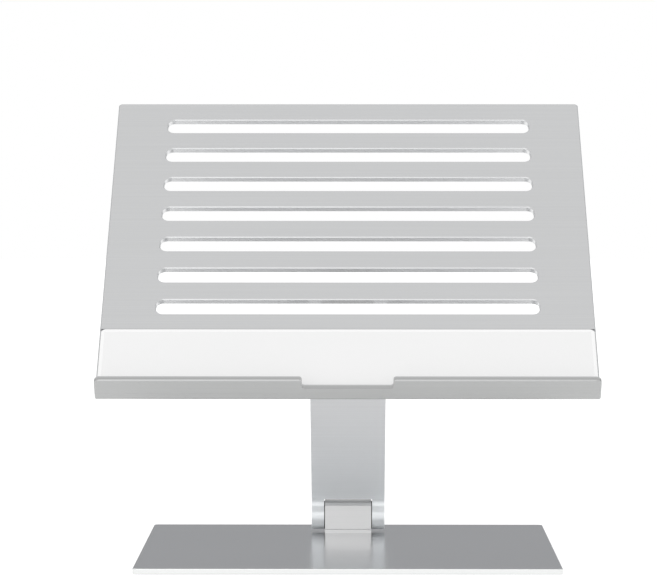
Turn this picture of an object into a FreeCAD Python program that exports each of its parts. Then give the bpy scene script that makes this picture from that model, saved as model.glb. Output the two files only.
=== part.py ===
"""Laptop stand: tilting tray on a folding arm over a flat base.

Frame: millimetres, +X to the user's right, -Y towards the user, +Z up. The origin is the
middle of the bounding box on the desk. Every length below lives in the "params" sheet.
"""
import FreeCAD
import Part
import Sketcher
import os
from math import atan2, cos, degrees, hypot, radians, sin

VECTOR = FreeCAD.Vector
X_AXIS = VECTOR(1, 0, 0)
Y_AXIS = VECTOR(0, 1, 0)

PARAMS = [
    # base plate; "front" distances run from its front edge, "rise" from its top face
    ("base_width", 222.8),
    ("base_depth", 188.0),
    ("base_thick", 3.0),
    ("base_corner_r", 2.5),
    ("base_edge_r", 0.5),
    ("foot_r", 7.0),
    ("foot_height", 1.5),
    ("foot_inset_x", 20.0),
    ("foot_inset_y", 22.0),
    ("foot_seat", 0.6),
    # lower hinge
    ("lower_axis_front", 157.8),
    ("lower_axis_rise", 9.2),
    ("block_width", 26.0),
    ("block_half_depth", 8.0),
    ("block_crown_r", 10.0),
    ("block_foot_out", 0.9),
    ("block_foot_high", 2.1),
    ("block_foot_edge", 0.35),
    ("block_screw_x", 8.0),
    ("block_screw_y", 5.2),
    ("block_screw_r", 1.5),
    ("block_screw_head_r", 2.9),
    ("block_screw_len", 11.0),
    ("block_tap_depth", 9.0),
    ("tap_gap", 0.05),
    ("clear_gap", 0.2),
    # arm
    ("arm_width", 41.0),
    ("arm_barrel_r", 8.0),
    ("arm_plate_low", 2.0),
    ("arm_root_r", 5.0),
    ("fork_gap", 27.0),
    ("fork_depth", 11.5),
    ("ear_bore_r", 2.56),
    ("ear_recess_r", 5.0),
    ("ear_recess_depth", 4.0),
    # hinge hardware, the same in both hinges
    ("bolt_r", 2.5),
    ("bolt_half_len", 19.1),
    ("head_r", 4.4),
    ("head_thick", 2.5),
    ("socket_r", 1.75),
    ("socket_depth", 1.6),
    ("seat_x", 16.55),
    ("knuckle_bore_r", 2.55),
    ("washer_r", 7.8),
    ("washer_bore_r", 2.7),
    ("washer_thick", 0.45),
    ("disc_r", 4.4),
    ("disc_bore_r", 2.6),
    ("disc_thick", 0.5),
    ("disc_step", 0.1),
    ("nut_r", 4.3),
    ("nut_bore_r", 2.55),
    ("nut_x", 17.6),
    ("nut_thick", 1.5),
    ("cap_r", 4.95),
    ("cap_thick", 1.2),
    ("cap_edge", 0.3),
    # tray; along = distance up the slope from the inside of the lip
    ("tray_width", 260.0),
    ("tray_slope", 233.9),
    ("sheet_thick", 3.0),
    ("tray_tilt", 39.63),
    ("tray_root_front", -3.92),
    ("tray_root_rise", 92.07),
    ("tray_corner_r", 2.0),
    ("tray_edge", 0.45),
    ("lip_height", 11.0),
    ("lip_bend_r", 1.0),
    ("lip_corner_r", 3.0),
    ("lip_edge", 0.55),
    ("notch_width", 47.0),
    ("notch_depth", 6.0),
    ("notch_r", 1.6),
    ("slot_length", 203.0),
    ("slot_height", 11.0),
    ("slot_r", 4.0),
    ("slot_pitch", 24.9),
    ("slot_first", 58.9),
    ("slot_count", 7),
    # pads
    ("pad_along", 1.5),
    ("pad_end", 45.75),
    ("pad_margin", 0.8),
    ("pad_thick", 1.2),
    ("groove_width", 1.2),
    ("groove_depth", 0.5),
    ("lip_pad_thick", 1.0),
    ("lip_pad_low", 1.6),
    ("lip_pad_high", 9.6),
    ("lip_pad_inner", 27.0),
    ("lip_pad_outer", 125.0),
    # upper hinge bracket
    ("upper_along", 61.0),
    ("upper_depth", 12.0),
    ("flange_half", 32.0),
    ("flange_start", 10.0),
    ("flange_end", 60.0),
    ("flange_thick", 3.0),
    ("flange_corner_r", 5.0),
    ("neck_start", 53.0),
    ("tray_screw_x", 22.0),
    ("tray_screw_low", 18.0),
    ("tray_screw_high", 40.0),
    ("tray_screw_r", 2.0),
    ("tray_screw_head_r", 3.8),
    ("tray_screw_len", 6.0),
]

doc = FreeCAD.newDocument("laptop_stand")
sheet = doc.addObject("Spreadsheet::Sheet", "params")
for row, (alias, number) in enumerate(PARAMS, start=1):
    sheet.set("A%d" % row, alias)
    sheet.set("B%d" % row, str(number))
    sheet.setAlias("B%d" % row, alias)
doc.recompute()


def val(alias):
    """The number in a sheet cell."""
    return float(sheet.get(alias))


# derived positions, in the row frame
BASE_TOP = val("foot_height") + val("base_thick")
TILT = radians(val("tray_tilt"))
LIP_FRONT = (val("tray_root_front") - (val("lip_height") * sin(TILT)) - (val("sheet_thick") * cos(TILT)))
Y_SHIFT = (LIP_FRONT + val("base_depth")) / 2.0


def place(front, rise, angle=0.0):
    """Placement from a distance behind the base's front edge and a rise over its top."""
    spin = FreeCAD.Rotation(X_AXIS, angle)
    return FreeCAD.Placement(VECTOR(0, front - Y_SHIFT, BASE_TOP + rise), spin)


TRAY_PLACE = place(val("tray_root_front"), val("tray_root_rise"), val("tray_tilt"))
LOWER_PLACE = place(val("lower_axis_front"), val("lower_axis_rise"))
UPPER_LOCAL = VECTOR(0, val("upper_along"), -(val("sheet_thick") + val("upper_depth")))
UPPER_POINT = TRAY_PLACE.multVec(UPPER_LOCAL)
LOWER_POINT = LOWER_PLACE.Base
ARM_RUN = LOWER_POINT.y - UPPER_POINT.y
ARM_RISE = UPPER_POINT.z - LOWER_POINT.z
ARM_LENGTH = hypot(ARM_RUN, ARM_RISE)
ARM_ANGLE = degrees(atan2(ARM_RISE, ARM_RUN))
derived_row = len(PARAMS) + 1
sheet.set("A%d" % derived_row, "arm_length")
sheet.set("B%d" % derived_row, "%.4f" % ARM_LENGTH)
sheet.setAlias("B%d" % derived_row, "arm_length")
doc.recompute()
# the arm's own frame: +Y runs from the upper axis to the lower one, +Z is its upper face
ARM_PLACE = FreeCAD.Placement(UPPER_POINT, FreeCAD.Rotation(X_AXIS, -ARM_ANGLE))
UPPER_PLACE = FreeCAD.Placement(UPPER_POINT, FreeCAD.Rotation(X_AXIS, val("tray_tilt")))


def named(expression):
    """Turn bare aliases into references to the sheet."""
    words = expression.replace("(", " ( ").replace(")", " ) ").split()
    return " ".join("params." + word if word[0].isalpha() else word for word in words)


def amount(expression):
    """Value of a sum of aliases and numbers such as 'a / 2 - b'."""
    doc_cell.setExpression("Level", named(expression))
    doc_cell.recompute()
    return float(doc_cell.Level)


doc_cell = doc.addObject("App::FeaturePython", "measure")
doc_cell.addProperty("App::PropertyFloat", "Level")


def bind(target, prop, expression):
    target.setExpression(prop, named(expression))


def new_body(label, placement):
    body = doc.addObject("PartDesign::Body", label)
    body.Label = label
    body.Placement = placement
    return body


def origin_feature(body, role):
    return next(item for item in body.Origin.OriginFeatures if item.Role == role)


def new_sketch(body, name, role, offset=None):
    sketch = body.newObject("Sketcher::SketchObject", name)
    sketch.AttachmentSupport = [(origin_feature(body, role), "")]
    sketch.MapMode = "FlatFace"
    if offset:
        bind(sketch, "AttachmentOffset.Base.z", offset)
    return sketch


def pin_point(sketch, curve, vertex, expressions):
    """Hold one vertex at a place given by two sheet expressions."""
    for kind, axis, expression in (("DistanceX", -2, expressions[0]), ("DistanceY", -1, expressions[1])):
        if expression == "0":
            sketch.addConstraint(Sketcher.Constraint("PointOnObject", curve, vertex, axis))
        else:
            constraint = Sketcher.Constraint(kind, -1, 1, curve, vertex, amount(expression))
            index = sketch.addConstraint(constraint)
            bind(sketch, "Constraints[%d]" % index, expression)


def add_polygon(sketch, corners):
    """Closed outline through corners, each a pair of sheet expressions."""
    points = [VECTOR(amount(a), amount(b), 0) for a, b in corners]
    first = sketch.GeometryCount
    count = len(points)
    for i in range(count):
        sketch.addGeometry(Part.LineSegment(points[i], points[(i + 1) % count]), False)
    for i in range(count):
        following = first + (i + 1) % count
        sketch.addConstraint(Sketcher.Constraint("Coincident", first + i, 2, following, 1))
    for i, expressions in enumerate(corners):
        pin_point(sketch, first + i, 1, expressions)


def add_rectangle(sketch, x0, x1, y0, y1):
    add_polygon(sketch, [(x0, y0), (x1, y0), (x1, y1), (x0, y1)])


def add_circle(sketch, x, y, radius):
    centre = VECTOR(amount(x), amount(y), 0)
    index = sketch.addGeometry(Part.Circle(centre, VECTOR(0, 0, 1), amount(radius)), False)
    if x == "0" and y == "0":
        sketch.addConstraint(Sketcher.Constraint("Coincident", index, 3, -1, 1))
    else:
        pin_point(sketch, index, 3, (x, y))
    row = sketch.addConstraint(Sketcher.Constraint("Radius", index, amount(radius)))
    bind(sketch, "Constraints[%d]" % row, radius)


def pad(body, name, sketch, length, symmetric=False, reverse=False):
    feature = body.newObject("PartDesign::Pad", name)
    feature.Profile = sketch
    bind(feature, "Length", length)
    if symmetric:
        feature.SideType = "Symmetric"
    feature.Reversed = reverse
    doc.recompute()
    return feature


def pocket_through(body, name, sketch):
    """Cut through everything on both sides of the sketch."""
    feature = body.newObject("PartDesign::Pocket", name)
    feature.Profile = sketch
    feature.Type = "ThroughAll"
    feature.SideType = "Symmetric"
    doc.recompute()
    return feature


def pocket_depth(body, name, sketch, depth, reverse=False):
    feature = body.newObject("PartDesign::Pocket", name)
    feature.Profile = sketch
    bind(feature, "Length", depth)
    feature.Reversed = reverse
    doc.recompute()
    return feature


def edges_where(shape, test):
    return ["Edge%d" % (i + 1) for i, edge in enumerate(shape.Edges) if test(edge)]


def near(a, b, slack=0.01):
    return abs(a - b) < slack


def middle(edge):
    return edge.valueAt((edge.FirstParameter + edge.LastParameter) / 2.0)


def runs_along(edge, axis):
    if edge.Curve.TypeId != "Part::GeomLine":
        return False
    return abs(edge.tangentAt(edge.FirstParameter).dot(axis)) > 0.999


def round_edges(body, name, base, edges, radius):
    feature = body.newObject("PartDesign::Fillet", name)
    feature.Base = (base, edges)
    bind(feature, "Radius", radius)
    doc.recompute()
    return feature


def bevel_edges(body, name, base, edges, size):
    feature = body.newObject("PartDesign::Chamfer", name)
    feature.Base = (base, edges)
    bind(feature, "Size", size)
    doc.recompute()
    return feature


# ---------------------------------------------------------------- base plate and feet
BASE_PLACE = FreeCAD.Placement(VECTOR(0, -Y_SHIFT, val("foot_height")), FreeCAD.Rotation())
base = new_body("base_plate", BASE_PLACE)
outline = new_sketch(base, "base_outline", "XY_Plane")
add_rectangle(outline, "- base_width / 2", "base_width / 2", "0", "base_depth")
slab = pad(base, "base_slab", outline, "base_thick")
corners = edges_where(slab.Shape, lambda e: runs_along(e, VECTOR(0, 0, 1)))
rounded = round_edges(base, "base_corners", slab, corners, "base_corner_r")
rim = edges_where(rounded.Shape, lambda e: near(middle(e).z, val("base_thick")))
softened = round_edges(base, "base_rim", rounded, rim, "base_edge_r")
SCREW_SPOTS = [("block_screw_x", "block_screw_y"), ("- block_screw_x", "block_screw_y"),
               ("block_screw_x", "- block_screw_y"), ("- block_screw_x", "- block_screw_y")]
holes = new_sketch(base, "base_screw_holes", "XY_Plane")
for x_word, y_word in SCREW_SPOTS:
    add_circle(holes, x_word, "lower_axis_front + ( %s )" % y_word, "block_screw_r + clear_gap")
drilled = pocket_through(base, "base_screw_bores", holes)
mouths = edges_where(drilled.Shape, lambda e: near(middle(e).z, 0)
                     and e.Curve.TypeId == "Part::GeomCircle"
                     and near(e.Curve.Radius, val("block_screw_r") + val("clear_gap")))
bevel_edges(base, "base_countersinks", drilled, mouths, "block_screw_head_r - block_screw_r")
seats = new_sketch(base, "foot_seats", "XY_Plane")
FOOT_SPOTS = [(side, end) for side in ("-", "") for end in ("front", "back")]


def foot_position(side, end):
    x_word = ("- " if side else "") + "( base_width / 2 - foot_inset_x )"
    y_word = "foot_inset_y" if end == "front" else "base_depth - foot_inset_y"
    return x_word, y_word


for side, end in FOOT_SPOTS:
    x_word, y_word = foot_position(side, end)
    add_circle(seats, x_word, y_word, "foot_r + tap_gap")
pocket_depth(base, "foot_recesses", seats, "foot_seat", reverse=True)


def compound(label, items, placement=None):
    group = doc.addObject("Part::Compound", label)
    group.Label = label
    group.Links = items
    if placement:
        group.Placement = placement
    return group


def cylinder(name, radius, height, start=VECTOR(0, 0, 0), direction=VECTOR(0, 0, 1)):
    item = doc.addObject("Part::Cylinder", name)
    bind(item, "Radius", radius)
    bind(item, "Height", height)
    item.Placement = FreeCAD.Placement(start, FreeCAD.Rotation(VECTOR(0, 0, 1), direction))
    return item


def cut(label, solid, tool, placement=None):
    item = doc.addObject("Part::Cut", label)
    item.Label = label
    item.Base = solid
    item.Tool = tool
    if placement:
        item.Placement = placement
    return item


def fuse(label, items):
    item = doc.addObject("Part::MultiFuse", label)
    item.Label = label
    item.Shapes = items
    return item


feet = []
for side, end in FOOT_SPOTS:
    x_word, y_word = foot_position(side, end)
    foot_point = VECTOR(amount(x_word), amount(y_word) - Y_SHIFT, 0)
    feet.append(cylinder("foot_" + ("left_" if side else "right_") + end, "foot_r",
                         "foot_height + foot_seat", foot_point))
compound("base_feet", feet)

# ---------------------------------------------------------------- lower hinge block
block = new_body("lower_hinge_block", LOWER_PLACE)
crown = new_sketch(block, "block_crown_side", "YZ_Plane")
add_circle(crown, "0", "0", "block_crown_r")
pad(block, "block_crown", crown, "block_width", symmetric=True)
trims = new_sketch(block, "block_trims", "YZ_Plane")
add_rectangle(trims, "block_half_depth", "block_crown_r + 1", "- block_crown_r - 1", "block_crown_r + 1")
add_rectangle(trims, "- block_crown_r - 1", "- block_half_depth", "- block_crown_r - 1", "block_crown_r + 1")
pocket_through(block, "block_flanks", trims)
below = new_sketch(block, "block_underside", "YZ_Plane")
add_rectangle(below, "- block_crown_r - 1", "block_crown_r + 1",
              "- block_crown_r - 1", "- lower_axis_rise / 2")
pocket_through(block, "block_base_trim", below)
post = new_sketch(block, "block_post_side", "YZ_Plane")
add_rectangle(post, "- block_half_depth", "block_half_depth", "- lower_axis_rise", "0")
pad(block, "block_post", post, "block_width", symmetric=True)
foot_side = new_sketch(block, "block_foot_side", "YZ_Plane")
add_rectangle(foot_side, "- block_half_depth - block_foot_out", "block_half_depth + block_foot_out",
              "- lower_axis_rise", "block_foot_high - lower_axis_rise")
lump = pad(block, "block_foot", foot_side, "block_width", symmetric=True)
foot_edges = edges_where(lump.Shape, lambda e: runs_along(e, X_AXIS)
                         and near(middle(e).z, val("block_foot_high") - val("lower_axis_rise"))
                         and near(abs(middle(e).y), val("block_half_depth") + val("block_foot_out")))
bevel_edges(block, "block_foot_bevels", lump, foot_edges, "block_foot_edge")
bore = new_sketch(block, "block_bore", "YZ_Plane")
add_circle(bore, "0", "0", "knuckle_bore_r")
pocket_through(block, "block_bolt_bore", bore)
taps = new_sketch(block, "block_taps", "XY_Plane", "- lower_axis_rise")
for x_word, y_word in SCREW_SPOTS:
    add_circle(taps, x_word, y_word, "block_screw_r + tap_gap")
pocket_depth(block, "block_tapped_holes", taps, "block_tap_depth", reverse=True)


def screw(name, radius, head_radius, length, point, direction):
    """Countersunk screw: the head's flat face at point, the shank along direction."""
    shank = cylinder(name + "_shank", radius, length, point, direction)
    head = doc.addObject("Part::Cone", name + "_head")
    bind(head, "Radius1", head_radius)
    bind(head, "Radius2", radius)
    bind(head, "Height", head_radius + " - " + radius)
    head.Placement = FreeCAD.Placement(point, FreeCAD.Rotation(VECTOR(0, 0, 1), direction))
    tip = fuse(name + "_body", [shank, head])
    drive = doc.addObject("Part::Prism", name + "_drive")
    drive.Polygon = 6
    bind(drive, "Circumradius", radius + " * 0.7")
    bind(drive, "Height", radius + " * 0.6")
    drive.Placement = head.Placement
    return cut(name, tip, drive)


base_screws = []
for number, (x_word, y_word) in enumerate(SCREW_SPOTS, start=1):
    spot = VECTOR(amount(x_word), LOWER_POINT.y + amount(y_word), val("foot_height"))
    base_screws.append(screw("block_screw_%d" % number, "block_screw_r", "block_screw_head_r",
                             "block_screw_len", spot, VECTOR(0, 0, 1)))
compound("lower_block_screws", base_screws)


# ---------------------------------------------------------------- hinge hardware
def ring(name, radius, bore_radius, thick, start_x):
    outer = cylinder(name + "_outer", radius, thick, VECTOR(start_x, 0, 0), X_AXIS)
    inner = cylinder(name + "_inner", bore_radius, thick, VECTOR(start_x, 0, 0), X_AXIS)
    return cut(name, outer, inner)


def hexagon(name, radius, height, start_x, direction):
    prism = doc.addObject("Part::Prism", name)
    prism.Polygon = 6
    bind(prism, "Circumradius", radius)
    bind(prism, "Height", height)
    turn = FreeCAD.Rotation(VECTOR(0, 0, 1), direction)
    prism.Placement = FreeCAD.Placement(VECTOR(start_x, 0, 0), turn)
    return prism


def hinge_hardware(level, placement):
    """Bolt, nut, disc springs and friction washers on an X axis through placement."""
    half = val("bolt_half_len")
    shank = cylinder(level + "_bolt_shank", "bolt_r", "bolt_half_len * 2", VECTOR(-half, 0, 0), X_AXIS)
    head = cylinder(level + "_bolt_head", "head_r", "head_thick",
                    VECTOR(-val("seat_x"), 0, 0), VECTOR(-1, 0, 0))
    blank = fuse(level + "_bolt_blank", [shank, head])
    socket = hexagon(level + "_bolt_socket", "socket_r", "socket_depth", -half, X_AXIS)
    cut(level + "_hinge_bolt", blank, socket, placement)
    nut_blank = hexagon(level + "_nut_blank", "nut_r", "nut_thick", val("nut_x"), X_AXIS)
    nut_bore = cylinder(level + "_nut_bore", "nut_bore_r", "nut_thick", VECTOR(val("nut_x"), 0, 0), X_AXIS)
    cut(level + "_hinge_nut", nut_blank, nut_bore, placement)
    discs = [ring(level + "_disc_inner", "disc_r", "disc_bore_r", "disc_thick", val("seat_x")),
             ring(level + "_disc_outer", "disc_r - disc_step", "disc_bore_r + disc_step", "disc_thick",
                  val("seat_x") + val("disc_thick"))]
    compound(level + "_disc_springs", discs, placement)
    inner_face = val("block_width") / 2.0
    washers = [ring(level + "_washer_left", "washer_r", "washer_bore_r", "washer_thick",
                    -inner_face - val("washer_thick")),
               ring(level + "_washer_right", "washer_r", "washer_bore_r", "washer_thick", inner_face)]
    compound(level + "_friction_washers", washers, placement)


def hinge_caps(level, placement):
    """Round covers flush with the two outer faces of the arm's ears."""
    caps = []
    half = val("arm_width") / 2.0
    for side, sign in (("left", -1), ("right", 1)):
        disc = cylinder("%s_cap_%s_disc" % (level, side), "cap_r", "cap_thick - cap_edge",
                        VECTOR(sign * (half - val("cap_thick")), 0, 0), VECTOR(sign, 0, 0))
        crown = doc.addObject("Part::Cone", "%s_cap_%s_crown" % (level, side))
        bind(crown, "Radius1", "cap_r")
        bind(crown, "Radius2", "cap_r - cap_edge")
        bind(crown, "Height", "cap_edge")
        start = VECTOR(sign * (half - val("cap_edge")), 0, 0)
        crown.Placement = FreeCAD.Placement(start, FreeCAD.Rotation(VECTOR(0, 0, 1), VECTOR(sign, 0, 0)))
        caps.append(fuse("%s_cap_%s" % (level, side), [disc, crown]))
    compound(level + "_hinge_caps", caps, placement)


LOWER_ARM_PLACE = FreeCAD.Placement(LOWER_POINT, ARM_PLACE.Rotation)
hinge_hardware("lower", LOWER_PLACE)
hinge_hardware("upper", UPPER_PLACE)
hinge_caps("lower", LOWER_ARM_PLACE)
hinge_caps("upper", ARM_PLACE)

# ---------------------------------------------------------------- arm
arm = new_body("arm", ARM_PLACE)
arm_side = new_sketch(arm, "arm_plate_side", "YZ_Plane")
add_rectangle(arm_side, "0", "arm_length", "arm_plate_low", "arm_barrel_r")
pad(arm, "arm_plate", arm_side, "arm_width", symmetric=True)
for end_name, along in (("upper", "0"), ("lower", "arm_length")):
    barrel = new_sketch(arm, "arm_barrel_" + end_name, "YZ_Plane")
    add_circle(barrel, along, "0", "arm_barrel_r")
    blank = pad(arm, "arm_" + end_name + "_barrel", barrel, "arm_width", symmetric=True)
roots = edges_where(blank.Shape, lambda e: runs_along(e, X_AXIS) and near(middle(e).z, val("arm_plate_low"))
                    and 1.0 < middle(e).y < ARM_LENGTH - 1.0)
blank = round_edges(arm, "arm_root_rounds", blank, roots, "arm_root_r")
FORKS = [("upper", "- arm_barrel_r - 1", "fork_depth"),
         ("lower", "arm_length - fork_depth", "arm_length + arm_barrel_r + 1")]
for end_name, start, stop in FORKS:
    fork = new_sketch(arm, "arm_fork_" + end_name, "XY_Plane")
    add_rectangle(fork, "- fork_gap / 2", "fork_gap / 2", start, stop)
    blank = pocket_through(arm, "arm_" + end_name + "_fork", fork)
for end_name, along in (("upper", "0"), ("lower", "arm_length")):
    bore = new_sketch(arm, "arm_bore_" + end_name, "YZ_Plane")
    add_circle(bore, along, "0", "ear_bore_r")
    blank = pocket_through(arm, "arm_" + end_name + "_bore", bore)
    for side, offset, reverse in (("left", "- arm_width / 2", True), ("right", "arm_width / 2", False)):
        recess = new_sketch(arm, "arm_recess_%s_%s" % (end_name, side), "YZ_Plane", offset)
        add_circle(recess, along, "0", "ear_recess_r")
        blank = pocket_depth(arm, "arm_%s_%s_recess" % (end_name, side), recess,
                             "ear_recess_depth", reverse=reverse)

# ---------------------------------------------------------------- tray panel
def touches_side(edge):
    """True for the sheet's two straight side edges, which stop at the groove's end."""
    return runs_along(edge, Y_AXIS) and near(abs(middle(edge).x), val("tray_width") / 2.0)


tray = new_body("tray_panel", TRAY_PLACE)
tray_side = new_sketch(tray, "tray_side", "YZ_Plane")
add_polygon(tray_side, [("0", "0"), ("0", "lip_height"), ("- sheet_thick", "lip_height"),
                        ("- sheet_thick", "- sheet_thick"), ("tray_slope", "- sheet_thick"),
                        ("tray_slope", "0")])
sheet_solid = pad(tray, "tray_sheet", tray_side, "tray_width", symmetric=True)
bend = edges_where(sheet_solid.Shape, lambda e: runs_along(e, X_AXIS)
                   and near(middle(e).y, -val("sheet_thick")) and near(middle(e).z, -val("sheet_thick")))
bent = round_edges(tray, "tray_bend", sheet_solid, bend, "lip_bend_r")
top_corners = edges_where(bent.Shape, lambda e: runs_along(e, VECTOR(0, 0, 1))
                          and near(middle(e).y, val("tray_slope")))
bent = round_edges(tray, "tray_top_corners", bent, top_corners, "tray_corner_r")
lip_corners = edges_where(bent.Shape, lambda e: runs_along(e, Y_AXIS)
                          and near(middle(e).z, val("lip_height")))
bent = round_edges(tray, "tray_lip_corners", bent, lip_corners, "lip_corner_r")
lip_rim = edges_where(bent.Shape, lambda e: near(middle(e).y, -val("sheet_thick"))
                      and middle(e).z > val("lip_height") - val("lip_corner_r") - 0.1
                      and near(e.BoundBox.YLength, 0))
lip_rim = [e for e in lip_rim if not runs_along(bent.Shape.getElement(e), VECTOR(0, 0, 1))]
bent = bevel_edges(tray, "tray_lip_bevel", bent, lip_rim, "lip_edge")
notch = new_sketch(tray, "tray_notch_outline", "XZ_Plane")
add_rectangle(notch, "- notch_width / 2", "notch_width / 2", "lip_height - notch_depth", "lip_height + 1")
bent = pocket_through(tray, "tray_notch", notch)
notch_edges = edges_where(bent.Shape, lambda e: runs_along(e, Y_AXIS)
                          and near(abs(middle(e).x), val("notch_width") / 2.0))
bent = round_edges(tray, "tray_notch_rounds", bent, notch_edges, "notch_r")
groove = new_sketch(tray, "tray_groove_outline", "XY_Plane")
add_rectangle(groove, "- tray_width / 2 + pad_margin", "tray_width / 2 - pad_margin",
              "pad_end", "pad_end + groove_width")
pocket_depth(tray, "tray_groove", groove, "groove_depth")
slot = new_sketch(tray, "tray_slot_outline", "XY_Plane")
add_rectangle(slot, "- slot_length / 2", "slot_length / 2", "slot_first", "slot_first + slot_height")
slot_cut = pocket_through(tray, "tray_slot", slot)
row_of_slots = tray.newObject("PartDesign::LinearPattern", "tray_slot_row")
row_of_slots.Originals = [slot_cut]
row_of_slots.Direction = (origin_feature(tray, "Y_Axis"), [""])
bind(row_of_slots, "Length", "slot_pitch * ( slot_count - 1 )")
row_of_slots.Occurrences = int(val("slot_count"))
tray.Tip = row_of_slots
doc.recompute()
slot_ends = edges_where(row_of_slots.Shape, lambda e: runs_along(e, VECTOR(0, 0, 1))
                        and near(abs(middle(e).x), val("slot_length") / 2.0))
bent = round_edges(tray, "tray_slot_rounds", row_of_slots, slot_ends, "slot_r")
screw_holes = new_sketch(tray, "tray_screw_holes", "XY_Plane")
TRAY_SPOTS = [("tray_screw_x", "tray_screw_low"), ("tray_screw_x", "tray_screw_high"),
              ("- tray_screw_x", "tray_screw_low"), ("- tray_screw_x", "tray_screw_high")]
for x_word, y_word in TRAY_SPOTS:
    add_circle(screw_holes, x_word, y_word, "tray_screw_r + clear_gap")
bent = pocket_through(tray, "tray_screw_bores", screw_holes)
mouths = edges_where(bent.Shape, lambda e: near(middle(e).z, 0) and e.Curve.TypeId == "Part::GeomCircle"
                     and near(e.Curve.Radius, val("tray_screw_r") + val("clear_gap")))
bent = bevel_edges(tray, "tray_countersinks", bent, mouths, "tray_screw_head_r - tray_screw_r")
GROOVE_END = val("pad_end") + val("groove_width")
brink = edges_where(bent.Shape, lambda e: near(middle(e).z, 0) and middle(e).y > GROOVE_END + 1
                    and near(e.BoundBox.ZLength, 0) and not touches_side(e))
bent = bevel_edges(tray, "tray_top_bevels", bent, brink, "tray_edge")

# ---------------------------------------------------------------- upper hinge bracket
bracket = new_body("upper_hinge_bracket", TRAY_PLACE)
flange_sketch = new_sketch(bracket, "flange_outline", "XY_Plane", "- sheet_thick - flange_thick")
add_rectangle(flange_sketch, "- flange_half", "flange_half", "flange_start", "flange_end")
flange = pad(bracket, "flange", flange_sketch, "flange_thick")
corners = edges_where(flange.Shape, lambda e: runs_along(e, VECTOR(0, 0, 1)) and middle(e).y < 30)
round_edges(bracket, "flange_corners", flange, corners, "flange_corner_r")
neck = new_sketch(bracket, "neck_side", "YZ_Plane")
add_rectangle(neck, "neck_start", "flange_end",
              "- sheet_thick - upper_depth", "- sheet_thick - flange_thick / 2")
pad(bracket, "neck", neck, "block_width", symmetric=True)
knuckle = new_sketch(bracket, "knuckle_side", "YZ_Plane")
add_circle(knuckle, "upper_along", "- sheet_thick - upper_depth", "arm_barrel_r")
pad(bracket, "knuckle", knuckle, "block_width", symmetric=True)
knuckle_bore = new_sketch(bracket, "knuckle_bore_side", "YZ_Plane")
add_circle(knuckle_bore, "upper_along", "- sheet_thick - upper_depth", "knuckle_bore_r")
pocket_through(bracket, "knuckle_bore", knuckle_bore)
flange_taps = new_sketch(bracket, "flange_taps", "XY_Plane")
for x_word, y_word in TRAY_SPOTS:
    add_circle(flange_taps, x_word, y_word, "tray_screw_r + tap_gap")
pocket_through(bracket, "flange_tapped_holes", flange_taps)

tray_screws = []
for number, (x_word, y_word) in enumerate(TRAY_SPOTS, start=1):
    spot = VECTOR(amount(x_word), amount(y_word), 0)
    tray_screws.append(screw("tray_screw_%d" % number, "tray_screw_r", "tray_screw_head_r",
                             "tray_screw_len", spot, VECTOR(0, 0, -1)))
compound("upper_bracket_screws", tray_screws, TRAY_PLACE)

# ---------------------------------------------------------------- silicone pads
cushion = new_body("tray_pad", TRAY_PLACE)
cushion_outline = new_sketch(cushion, "tray_pad_outline", "XY_Plane")
add_rectangle(cushion_outline, "- tray_width / 2 + pad_margin", "tray_width / 2 - pad_margin",
              "pad_along", "pad_end")
pad(cushion, "tray_pad_slab", cushion_outline, "pad_thick")
for label, x0, x1 in (("lip_pad_left", "- lip_pad_outer", "- lip_pad_inner"),
                      ("lip_pad_right", "lip_pad_inner", "lip_pad_outer")):
    strip = new_body(label, TRAY_PLACE)
    strip_outline = new_sketch(strip, label + "_outline", "XY_Plane", "lip_pad_low")
    add_rectangle(strip_outline, x0, x1, "0", "lip_pad_thick")
    pad(strip, label + "_slab", strip_outline, "lip_pad_high - lip_pad_low")

# ---------------------------------------------------------------- output
NODES = [
    "base_plate", "base_feet", "lower_hinge_block", "lower_block_screws", "lower_hinge_bolt",
    "lower_hinge_nut", "lower_disc_springs", "lower_friction_washers", "arm", "lower_hinge_caps",
    "upper_hinge_caps", "upper_hinge_bracket", "upper_bracket_screws", "upper_hinge_bolt",
    "upper_hinge_nut", "upper_disc_springs", "upper_friction_washers", "tray_panel", "tray_pad",
    "lip_pad_left", "lip_pad_right",
]
doc.recompute()
for item in doc.Objects:
    bad = [state for state in item.State if state in ("Invalid", "Error")]
    if bad:
        raise RuntimeError("%s is %s" % (item.Label, bad))
os.makedirs("parts", exist_ok=True)
for label in NODES:
    shape = doc.getObjectsByLabel(label)[0].Shape
    if shape.isNull() or not shape.isValid() or not shape.Solids:
        raise RuntimeError("%s has no valid solid" % label)
    shape.exportStep("parts/%s.step" % label)
    box = shape.BoundBox
    print("%-24s solids %d  volume %10.2f  x %8.2f %8.2f  y %8.2f %8.2f  z %8.2f %8.2f" % (
        label, len(shape.Solids), shape.Volume, box.XMin, box.XMax, box.YMin, box.YMax, box.ZMin, box.ZMax))
print("arm length %.3f  arm angle %.3f  y shift %.3f" % (ARM_LENGTH, ARM_ANGLE, Y_SHIFT))
print("upper axis", UPPER_POINT, "lower axis", LOWER_POINT)
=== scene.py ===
import math

import bmesh
import bpy
from mathutils import Matrix, Vector


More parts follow.
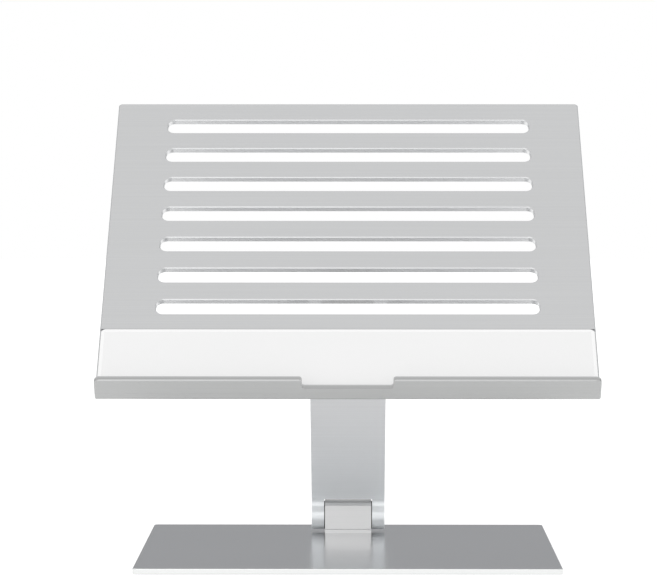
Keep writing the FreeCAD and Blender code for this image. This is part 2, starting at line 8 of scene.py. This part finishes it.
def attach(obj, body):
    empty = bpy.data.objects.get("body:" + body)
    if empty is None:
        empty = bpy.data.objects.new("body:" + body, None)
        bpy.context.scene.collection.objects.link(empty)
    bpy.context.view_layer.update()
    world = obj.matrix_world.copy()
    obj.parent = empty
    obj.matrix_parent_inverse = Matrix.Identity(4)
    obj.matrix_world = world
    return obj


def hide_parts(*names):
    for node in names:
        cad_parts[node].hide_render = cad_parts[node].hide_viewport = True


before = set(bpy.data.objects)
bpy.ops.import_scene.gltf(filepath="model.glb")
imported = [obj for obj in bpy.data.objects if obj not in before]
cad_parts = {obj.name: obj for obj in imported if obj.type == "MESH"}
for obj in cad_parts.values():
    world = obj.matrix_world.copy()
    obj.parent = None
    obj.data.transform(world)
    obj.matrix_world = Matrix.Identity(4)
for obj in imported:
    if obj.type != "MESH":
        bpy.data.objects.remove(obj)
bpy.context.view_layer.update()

scene = bpy.context.scene
scene.view_settings.view_transform = "Standard"

# ------------------------------------------------------------------ places, in metres
BASE_TOP = 0.0045
BASE_FRONT = -0.087377
TRAY_ROOT = Vector((0.0, -0.00392 + BASE_FRONT, 0.09207 + BASE_TOP))
TRAY_TILT = math.radians(39.63)
TRAY_MATRIX = Matrix.Translation(TRAY_ROOT) @ Matrix.Rotation(TRAY_TILT, 4, "X")
UPPER_AXIS = Vector((0.0, -0.034748, 0.123925))
ARM_ANGLE = math.radians(46.344)
ACROSS = (1.0, 0.0, 0.0)
UP_SLOPE = (0.0, math.cos(TRAY_TILT), math.sin(TRAY_TILT))
SHEET_UP = (0.0, -math.sin(TRAY_TILT), math.cos(TRAY_TILT))
ALONG_ARM = (0.0, math.cos(ARM_ANGLE), -math.sin(ARM_ANGLE))
ARM_BACK = (0.0, math.sin(ARM_ANGLE), math.cos(ARM_ANGLE))

# pad: distances up the slope from the tray's root
PAD_HALF_WIDTH = 0.1292
PAD_START = 0.0015
PAD_END = 0.04575
PAD_THICK = 0.0012
PAD_RIM = 0.0014
PAD_SINK = 0.0002
GROOVE_WIDTH = 0.0012
# the groove's painted shade is full down to this height on the sheet, and gone 0.5 mm lower
GROOVE_SHADE_LOW = -0.001

# strips on the inside of the lip
STRIP_INNER = 0.027
STRIP_OUTER = 0.125
STRIP_LOW = 0.0016
STRIP_HIGH = 0.0096
STRIP_THICK = 0.001

FOOT_X = 0.0914
FRONT_FEET_Y = BASE_FRONT + 0.022
BACK_FEET_Y = BASE_FRONT + 0.166
# (radius, height) from the dished underside, round the rim, to the seat in the base
FOOT_OUTLINE = ((0.0, 0.0003), (0.0035, 0.0003), (0.0046, 0.0), (0.0062, 0.0), (0.0067, 0.00015),
                (0.007, 0.0005), (0.007, 0.0021), (0.0, 0.0021))


# ------------------------------------------------------------------ shader nodes
class Nodes:
    """Small helper that adds and links shader nodes of one material."""

    def __init__(self, name):
        self.material = bpy.data.materials.new(name)
        self.material.use_nodes = True
        self.tree = self.material.node_tree
        self.tree.nodes.clear()
        self.out = self.tree.nodes.new("ShaderNodeOutputMaterial")

    def add(self, kind, **settings):
        node = self.tree.nodes.new(kind)
        for key, value in settings.items():
            setattr(node, key, value)
        return node

    def link(self, source, target):
        self.tree.links.new(source, target)

    def surface(self, shader):
        self.link(shader, self.out.inputs["Surface"])

    def maths(self, operation, *values):
        node = self.add("ShaderNodeMath", operation=operation)
        for i, value in enumerate(values):
            self.link(value, node.inputs[i])
        return node.outputs["Value"]

    def product(self, first, *others):
        for other in others:
            first = self.maths("MULTIPLY", first, other)
        return first

    def dot(self, vector, direction):
        node = self.add("ShaderNodeVectorMath", operation="DOT_PRODUCT")
        self.link(vector, node.inputs[0])
        node.inputs[1].default_value = direction
        return node.outputs["Value"]

    def ramp(self, value, low, high):
        """0 at low, 1 at high, clamped."""
        node = self.add("ShaderNodeMapRange")
        node.inputs["From Min"].default_value = low
        node.inputs["From Max"].default_value = high
        self.link(value, node.inputs["Value"])
        return node.outputs["Result"]

    def noise(self, scale, detail, rough):
        """Noise in the piece's own coordinates, with its own scale on each axis."""
        place = self.add("ShaderNodeTexCoord")
        mapping = self.add("ShaderNodeMapping")
        mapping.inputs["Scale"].default_value = scale
        self.link(place.outputs["Object"], mapping.inputs["Vector"])
        node = self.add("ShaderNodeTexNoise")
        node.inputs["Scale"].default_value = 1.0
        node.inputs["Detail"].default_value = detail
        node.inputs["Roughness"].default_value = rough
        self.link(mapping.outputs["Vector"], node.inputs["Vector"])
        return node.outputs["Fac"]

    def spread_noise(self, noise, low, high):
        """Noise, which stays near 0.5, stretched to run from low to high."""
        node = self.add("ShaderNodeMapRange")
        node.inputs["From Min"].default_value = 0.3
        node.inputs["From Max"].default_value = 0.7
        node.inputs["To Min"].default_value = low
        node.inputs["To Max"].default_value = high
        self.link(noise, node.inputs["Value"])
        return node.outputs["Result"]

    def bump(self, height, strength, distance):
        node = self.add("ShaderNodeBump")
        node.inputs["Strength"].default_value = strength
        node.inputs["Distance"].default_value = distance
        self.link(height, node.inputs["Height"])
        return node.outputs["Normal"]

    def tinted(self, noise, color, spread):
        """A colour that varies by +-spread with the noise."""
        mix = self.add("ShaderNodeMix", data_type="RGBA")
        mix.inputs["A"].default_value = [c * (1 - spread) for c in color] + [1.0]
        mix.inputs["B"].default_value = [c * (1 + spread) for c in color] + [1.0]
        self.link(self.spread_noise(noise, 0.0, 1.0), mix.inputs["Factor"])
        return mix.outputs["Result"]

    def blended(self, factor, first, second):
        mix = self.add("ShaderNodeMix", data_type="RGBA")
        self.link(factor, mix.inputs["Factor"])
        self.link(first, mix.inputs["A"])
        self.link(second, mix.inputs["B"])
        return mix.outputs["Result"]

    def along(self, direction, origin):
        """Distance from origin along direction, in the piece's own coordinates."""
        place = self.add("ShaderNodeTexCoord")
        shift = self.add("ShaderNodeVectorMath", operation="SUBTRACT")
        self.link(place.outputs["Object"], shift.inputs[0])
        shift.inputs[1].default_value = origin
        return self.dot(shift.outputs["Vector"], direction)

    def facing(self, direction):
        """Cosine between the piece's own surface normal and direction."""
        place = self.add("ShaderNodeTexCoord")
        return self.dot(place.outputs["Normal"], direction)

    def facing_either_way(self, direction):
        return self.maths("ABSOLUTE", self.facing(direction))


# ------------------------------------------------------------------ materials
LONG_GRAIN = (6.0, 1400.0, 1400.0)
TURNED_GRAIN = (900.0, 900.0, 900.0)
ROLLED_GRAIN = (700.0, 700.0, 700.0)
METAL_TINT = 0.03
METAL_BUMP = 0.06


class Metal(Nodes):
    """Satin metal with fine lines along the axis that grain stretches."""

    def __init__(self, name, grain=LONG_GRAIN):
        super().__init__(name)
        self.lines = self.noise(grain, 5.0, 0.7)
        self.cloud = self.noise((14.0, 14.0, 14.0), 2.0, 0.5)

    def tone(self, color, spread=METAL_TINT):
        return self.tinted(self.lines, color, spread)

    def finish(self, color, rough, metallic, bump=METAL_BUMP, relief=None):
        bsdf = self.add("ShaderNodeBsdfPrincipled")
        bsdf.inputs["Metallic"].default_value = metallic
        self.link(color, bsdf.inputs["Base Color"])
        self.link(self.spread_noise(self.cloud, rough - 0.02, rough + 0.03), bsdf.inputs["Roughness"])
        relief = self.lines if relief is None else relief
        self.link(self.bump(relief, bump, 0.0002), bsdf.inputs["Normal"])
        self.surface(bsdf.outputs["BSDF"])
        return self.material


def plain_metal(name, color, rough, metallic=1.0, grain=LONG_GRAIN):
    metal = Metal(name, grain)
    return metal.finish(metal.tone(color), rough, metallic)


def base_finish(name):
    """Satin plate whose faces that point sideways get a brighter colour: a painted highlight for the
    front light falling on the rim.
    """
    metal = Metal(name, (5.0, 1100.0, 1100.0))
    top = metal.tone((0.70, 0.705, 0.715), 0.02)
    geometry = metal.add("ShaderNodeNewGeometry")
    parts = metal.add("ShaderNodeSeparateXYZ")
    metal.link(geometry.outputs["Normal"], parts.inputs["Vector"])
    # mask of the sideways faces, which get a lighter tone as a painted highlight
    rim_painted_highlight = metal.ramp(metal.maths("ABSOLUTE", parts.outputs["Z"]), 0.75, 0.35)
    color = metal.blended(rim_painted_highlight, top, metal.tone((0.78, 0.79, 0.785), 0.0))
    return metal.finish(color, 0.2, 1.0, bump=0.03)


def tray_finish(name):
    """Satin sheet with painted light on its cut edges and slot walls, painted shade on the bent lip
    and its tip, and painted shade in the groove behind the pad.
    """
    metal = Metal(name)
    flat = metal.facing_either_way(SHEET_UP)
    slope = metal.along(UP_SLOPE, tuple(TRAY_ROOT))
    height = metal.along(SHEET_UP, tuple(TRAY_ROOT))
    # cut edges and slot walls get a lighter tone: painted light on faces that face down and would
    # otherwise reflect the dark base
    edge_painted_light = metal.product(metal.ramp(flat, 0.35, 0.2), metal.ramp(slope, 0.01, 0.02))
    groove_end = PAD_END + GROOVE_WIDTH
    # painted shade in the groove behind the pad, standing in for its shadow
    groove = metal.product(metal.ramp(slope, PAD_END - 0.0003, PAD_END - 0.0002),
                           metal.ramp(slope, groove_end + 0.0002, groove_end + 0.0001),
                           metal.ramp(height, GROOVE_SHADE_LOW - 0.0005, GROOVE_SHADE_LOW))
    # the bent lip and its tip get darker tones: painted shade, as they face forward and down
    lip = metal.ramp(slope, 0.0, -0.0016)
    lip_tip = metal.product(lip, metal.ramp(flat, 0.7, 0.9))
    color = metal.tone((0.575, 0.58, 0.585))
    color = metal.blended(lip, color, metal.tone((0.445, 0.45, 0.448)))
    color = metal.blended(lip_tip, color, metal.tone((0.41, 0.413, 0.413)))
    # painted light on the cut edges and slot walls
    color = metal.blended(edge_painted_light, color, metal.tone((0.76, 0.765, 0.77), 0.005))
    color = metal.blended(groove, color, metal.tone((0.36, 0.36, 0.37)))
    smooth_on_cuts = metal.product(metal.lines, metal.ramp(edge_painted_light, 1.0, 0.0))
    return metal.finish(color, 0.34, 0.8, relief=smooth_on_cuts)


def arm_finish(name):
    """Satin bar whose front is painted lighter than its flanks and back, a painted highlight, and
    which turns cooler and darker towards its foot, a painted shade.
    """
    metal = Metal(name)
    # the front darkens and cools towards the foot: painted shade, standing for the grey base
    # reflected in it
    foot_painted_shade = metal.ramp(metal.along(ALONG_ARM, tuple(UPPER_AXIS)), 0.06, 0.15)
    back = metal.ramp(metal.facing(ARM_BACK), 0.3, 0.7)
    flank = metal.ramp(metal.facing_either_way(ACROSS), 0.4, 0.7)
    front = metal.blended(foot_painted_shade, metal.tone((0.93, 0.935, 0.94)), metal.tone((0.9, 0.925, 0.94)))
    # flanks and back keep the satin tone; the front's much lighter tone is painted light
    color = metal.blended(metal.maths("MAXIMUM", back, flank), front,
                          metal.tone((0.64, 0.645, 0.65)))
    return metal.finish(color, 0.34, 0.35)


def soft(name, color, rough, grain=900.0, bump=0.12, specular=0.3):
    """Matt silicone or plastic with a very fine pebble."""
    n = Nodes(name)
    pebble = n.noise((grain, grain, grain), 2.0, 0.5)
    cloud = n.noise((9.0, 9.0, 9.0), 3.0, 0.5)
    bsdf = n.add("ShaderNodeBsdfPrincipled")
    bsdf.inputs["Specular IOR Level"].default_value = specular
    n.link(n.tinted(cloud, color, 0.008), bsdf.inputs["Base Color"])
    n.link(n.spread_noise(cloud, rough - 0.03, rough + 0.03), bsdf.inputs["Roughness"])
    n.link(n.bump(pebble, bump, 0.0001), bsdf.inputs["Normal"])
    n.surface(bsdf.outputs["BSDF"])
    return n.material


TRAY_METAL = tray_finish("tray_satin_aluminium")
ARM_METAL = arm_finish("arm_satin_aluminium")
BLOCK_METAL = plain_metal("block_satin_aluminium", (0.585, 0.585, 0.585), 0.3, metallic=0.8)
BASE_METAL = base_finish("base_satin_steel")
CAP_METAL = plain_metal("cap_turned_aluminium", (0.55, 0.56, 0.57), 0.25, grain=TURNED_GRAIN)
BOLT_METAL = plain_metal("zinc_plated_steel", (0.55, 0.55, 0.54), 0.3, grain=ROLLED_GRAIN)
SPRING_METAL = plain_metal("oiled_spring_steel", (0.3, 0.3, 0.31), 0.28, grain=ROLLED_GRAIN)
WASHER_PLASTIC = soft("friction_plastic", (0.03, 0.03, 0.032), 0.45, grain=1500.0, specular=0.4)
PAD_SILICONE = soft("pale_silicone", (0.825, 0.825, 0.825), 0.62)
# the rim's lighter tone is a painted highlight on the pad's raised border
RIM_PAINTED_HIGHLIGHT_SILICONE = soft("pale_silicone_rim_painted_highlight", (0.88, 0.88, 0.88), 0.55)
FOOT_SILICONE = soft("dark_foot_silicone", (0.07, 0.07, 0.075), 0.6)

FINISHES = {
    "base_plate": BASE_METAL,
    "lower_hinge_block": BLOCK_METAL,
    "lower_block_screws": BOLT_METAL,
    "lower_hinge_bolt": BOLT_METAL,
    "lower_hinge_nut": BOLT_METAL,
    "lower_disc_springs": SPRING_METAL,
    "lower_friction_washers": WASHER_PLASTIC,
    "arm": ARM_METAL,
    "lower_hinge_caps": CAP_METAL,
    "upper_hinge_caps": CAP_METAL,
    "upper_hinge_bracket": BLOCK_METAL,
    "upper_bracket_screws": BOLT_METAL,
    "upper_hinge_bolt": BOLT_METAL,
    "upper_hinge_nut": BOLT_METAL,
    "upper_disc_springs": SPRING_METAL,
    "upper_friction_washers": WASHER_PLASTIC,
    "tray_panel": TRAY_METAL,
}
for node, material in FINISHES.items():
    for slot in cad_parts[node].material_slots:
        slot.material = material

EDGE_WIDTHS = {"arm": 0.0001, "upper_hinge_bracket": 0.0004}
for node, width in EDGE_WIDTHS.items():
    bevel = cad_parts[node].modifiers.new("soft_edges", "BEVEL")
    bevel.width = width
    bevel.segments = 2
    bevel.limit_method = "ANGLE"
    bevel.angle_limit = math.radians(40)
    bevel.harden_normals = False


# ------------------------------------------------------------------ soft pieces
def piece_from(bm, name):
    """A new object in the scene from the bmesh, which is freed."""
    mesh = bpy.data.meshes.new(name)
    bm.to_mesh(mesh)
    bm.free()
    piece = bpy.data.objects.new(name, mesh)
    scene.collection.objects.link(piece)
    return piece


def rounded_slab(name, x_range, y_range, z_range, corner, edge, matrix, rim=0.0):
    """A slab with rounded corners in plan and softened edges, placed by matrix.

    rim: width of a raised border around a slightly sunk face, given the second material.
    """
    (x0, x1), (y0, y1), (z0, z1) = x_range, y_range, z_range
    bm = bmesh.new()
    ring = []
    steps = 8
    centres = ((x1 - corner, y1 - corner, 0), (x0 + corner, y1 - corner, 90),
               (x0 + corner, y0 + corner, 180), (x1 - corner, y0 + corner, 270))
    for cx, cy, start in centres:
        for i in range(steps + 1):
            turn = math.radians(start + 90.0 * i / steps)
            spot = (cx + corner * math.cos(turn), cy + corner * math.sin(turn), z0)
            ring.append(bm.verts.new(spot))
    bottom = bm.faces.new(ring)
    grown = bmesh.ops.extrude_face_region(bm, geom=[bottom])
    lifted = [item for item in grown["geom"] if isinstance(item, bmesh.types.BMVert)]
    bmesh.ops.translate(bm, verts=lifted, vec=(0, 0, z1 - z0))
    bmesh.ops.recalc_face_normals(bm, faces=bm.faces)
    level_edges = [e for e in bm.edges if abs(e.verts[0].co.z - e.verts[1].co.z) < 1e-9]
    bmesh.ops.bevel(bm, geom=level_edges, offset=edge, segments=3, profile=0.5, affect="EDGES")
    for face in bm.faces:
        face.smooth = len(face.verts) == 4
    if rim:
        top = max(bm.faces, key=lambda f: (f.calc_center_median().z, f.calc_area()))
        bmesh.ops.inset_region(bm, faces=[top], thickness=rim, depth=0.0)
        bmesh.ops.inset_region(bm, faces=[top], thickness=PAD_SINK, depth=-PAD_SINK)
        for face in bm.faces:
            face.material_index = 0 if face is top else 1
    bmesh.ops.transform(bm, matrix=matrix, verts=bm.verts)
    return piece_from(bm, name)


def foot(name, x, y):
    """A turned silicone foot with a rounded rim and a shallow dished underside."""
    bm = bmesh.new()
    steps = 48
    rings = []
    for radius, height in FOOT_OUTLINE:
        if radius == 0.0:
            rings.append([bm.verts.new((x, y, height))])
            continue
        turns = [2 * math.pi * i / steps for i in range(steps)]
        rings.append([bm.verts.new((x + radius * math.cos(turn), y + radius * math.sin(turn), height))
                      for turn in turns])
    for low, high in zip(rings, rings[1:]):
        for i in range(steps):
            j = (i + 1) % steps
            corners = [low[i % len(low)], low[j % len(low)],
                       high[j % len(high)], high[i % len(high)]]
            bm.faces.new(list(dict.fromkeys(corners)))
    bmesh.ops.recalc_face_normals(bm, faces=bm.faces)
    piece = piece_from(bm, name)
    piece.data.shade_smooth()
    return piece


def dress(piece, material, body, node):
    """Give the piece its material and body, and hide the CAD node that it stands for."""
    piece.data.materials.append(material)
    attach(piece, body)
    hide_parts(node)


band = rounded_slab("tray_band", (-PAD_HALF_WIDTH, PAD_HALF_WIDTH), (PAD_START, PAD_END),
                    (0.0, PAD_THICK), corner=0.0025, edge=0.0003, matrix=TRAY_MATRIX, rim=PAD_RIM)
dress(band, PAD_SILICONE, "tray", "tray_pad")
# second material: painted highlight on the pad's rim
band.data.materials.append(RIM_PAINTED_HIGHLIGHT_SILICONE)

LIP_MATRIX = TRAY_MATRIX @ Matrix.Rotation(math.radians(90), 4, "X")
for side, x_range in (("left", (-STRIP_OUTER, -STRIP_INNER)), ("right", (STRIP_INNER, STRIP_OUTER))):
    strip = rounded_slab("lip_strip_" + side, x_range, (STRIP_LOW, STRIP_HIGH),
                         (-STRIP_THICK, 0.0), corner=0.0022, edge=0.00025, matrix=LIP_MATRIX)
    dress(strip, PAD_SILICONE, "tray", "lip_pad_" + side)

for name, x, y in (("front_left", -FOOT_X, FRONT_FEET_Y), ("front_right", FOOT_X, FRONT_FEET_Y),
                   ("back_left", -FOOT_X, BACK_FEET_Y), ("back_right", FOOT_X, BACK_FEET_Y)):
    dress(foot("foot_" + name, x, y), FOOT_SILICONE, "base", "base_feet")


# ------------------------------------------------------------------ stage
def plane(name, width, depth, matrix, material):
    """A flat stage piece centred on the origin of matrix."""
    mesh = bpy.data.meshes.new(name)
    mesh.from_pydata([(-width / 2, -depth / 2, 0), (width / 2, -depth / 2, 0),
                      (width / 2, depth / 2, 0), (-width / 2, depth / 2, 0)], [], [(0, 1, 2, 3)])
    item = bpy.data.objects.new(name, mesh)
    item.matrix_world = matrix
    scene.collection.objects.link(item)
    item.data.materials.append(material)
    return item


def floor_finish(name):
    """Near-white floor: a steady glow plus a matt share that takes soft shadows."""
    n = Nodes(name)
    glow = n.add("ShaderNodeEmission")
    glow.inputs["Strength"].default_value = 0.68
    matt = n.add("ShaderNodeBsdfDiffuse")
    matt.inputs["Color"].default_value = (0.5, 0.5, 0.5, 1.0)
    both = n.add("ShaderNodeAddShader")
    n.link(glow.outputs["Emission"], both.inputs[0])
    n.link(matt.outputs["BSDF"], both.inputs[1])
    n.surface(both.outputs["Shader"])
    return n.material


def card_finish(name):
    n = Nodes(name)
    glow = n.add("ShaderNodeEmission")
    glow.inputs["Color"].default_value = (0.385, 0.39, 0.4, 1.0)
    n.surface(glow.outputs["Emission"])
    return n.material


FLOOR_Z = -0.00002
plane("floor", 8.0, 8.0, Matrix.Translation((0, 0, FLOOR_Z)), floor_finish("pale_floor"))

world = bpy.data.worlds.new("studio")
scene.world = world
world.use_nodes = True
background = world.node_tree.nodes["Background"]
background.inputs["Color"].default_value = (1.0, 1.0, 1.0, 1.0)
background.inputs["Strength"].default_value = 1.0

# a grey card behind the stand, seen only in reflections: it gives the base its mid grey
CARD_HEIGHT = 0.9
upright = Matrix.Rotation(math.radians(90), 4, "X")
card = plane("grey_flag", 3.0, CARD_HEIGHT, Matrix.Translation((0, 0.9, CARD_HEIGHT / 2)) @ upright,
             card_finish("grey_flag"))
card.visible_camera = False
card.visible_diffuse = False
card.visible_shadow = False
card.visible_transmission = False

LIGHT_PLACE = Vector((-0.4, -1.6, 0.5))
LIGHT_TARGET = Vector((0, 0, 0.1))
lamp = bpy.data.lights.new("front_soft", "AREA")
lamp.shape = "RECTANGLE"
lamp.size = 1.4
lamp.size_y = 0.8
lamp.energy = 3.0
light = bpy.data.objects.new("front_soft", lamp)
light.location = LIGHT_PLACE
light.rotation_euler = (LIGHT_TARGET - LIGHT_PLACE).to_track_quat("-Z", "Y").to_euler()
scene.collection.objects.link(light)

# ------------------------------------------------------------------ camera
CAMERA_DOWN = 2.7969
CAMERA_LEFT = 0.448
camera_data = bpy.data.cameras.new("camera")
camera_data.sensor_fit = "HORIZONTAL"
camera_data.sensor_width = 36.0
camera_data.lens = 177.18
camera_data.clip_end = 20.0
camera = bpy.data.objects.new("camera", camera_data)
camera.location = (0.00314, -1.7487, 0.23114)
camera.rotation_euler = (math.radians(90.0 - CAMERA_DOWN), 0.0, math.radians(CAMERA_LEFT))
scene.collection.objects.link(camera)
scene.camera = camera
